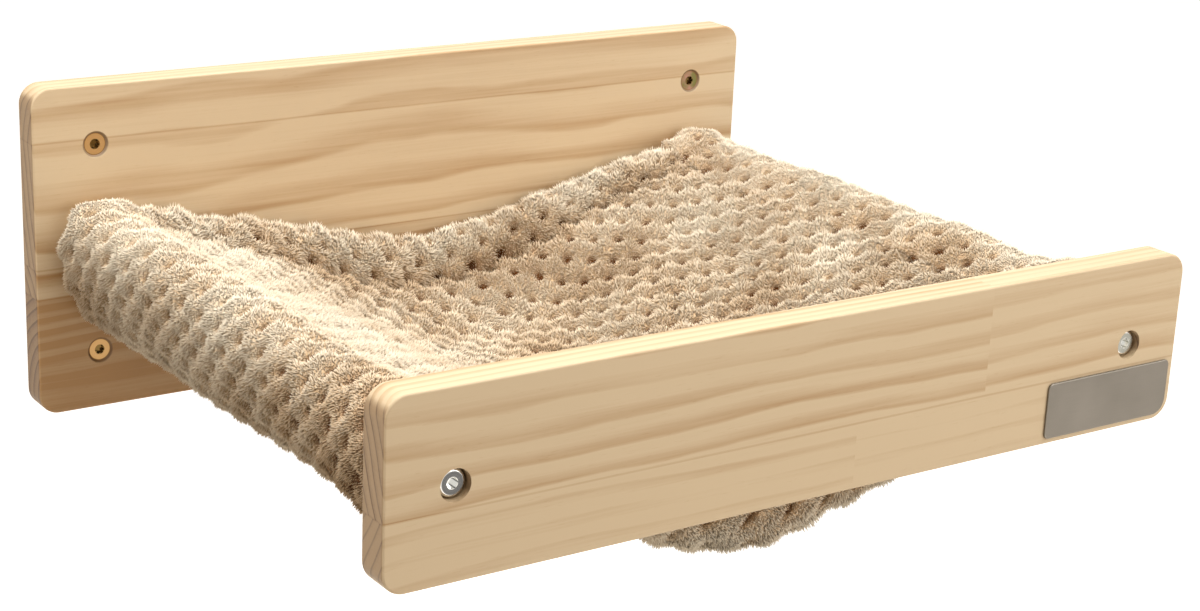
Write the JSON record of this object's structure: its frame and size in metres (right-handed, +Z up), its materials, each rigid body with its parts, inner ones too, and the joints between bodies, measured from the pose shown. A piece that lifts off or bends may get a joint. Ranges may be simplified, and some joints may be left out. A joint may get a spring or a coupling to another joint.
{
  "type": "wall-mounted cat hammock",
  "caption": "Wall-mounted cat hammock: a padded plush sling hangs by sleeves from round rods bolted between a tall back board and a lower front board of pale pine.",
  "frame": {"origin": "centre of the back board's wall face", "axes": "+X right as seen from the room, +Y into the wall, +Z up"},
  "size_m": [0.46, 0.4395, 0.18],
  "materials": {
    "pine": "satin",
    "rod_wood": "satin",
    "plush": "matte",
    "wadding": "matte",
    "yellow_zinc": "satin",
    "nickel": "gloss",
    "satin_steel": "satin",
    "insert_metal": "satin",
    "adhesive": "matte"
  },
  "bodies": {
    "root": {"back_board": "pine", "front_board": "pine", "rod_left": "rod_wood", "rod_right": "rod_wood", "insert_left_back": "insert_metal", "bolt_left_back": "nickel", "insert_left_front": "insert_metal", "bolt_left_front": "nickel", "insert_right_back": "insert_metal", "bolt_right_back": "nickel", "insert_right_front": "insert_metal", "bolt_right_front": "nickel", "wall_screw_upper_left": "yellow_zinc", "wall_screw_upper_right": "yellow_zinc", "wall_screw_lower_left": "yellow_zinc", "wall_screw_lower_right": "yellow_zinc", "corner_plate": "satin_steel", "plate_adhesive": "adhesive", "seat_plush": "plush", "seat_wadding": "wadding", "belly_plush": "plush", "back_roll": "plush", "front_roll": "plush", "sleeve_left": "plush", "sleeve_right": "plush"}
  },
  "joints": []
}
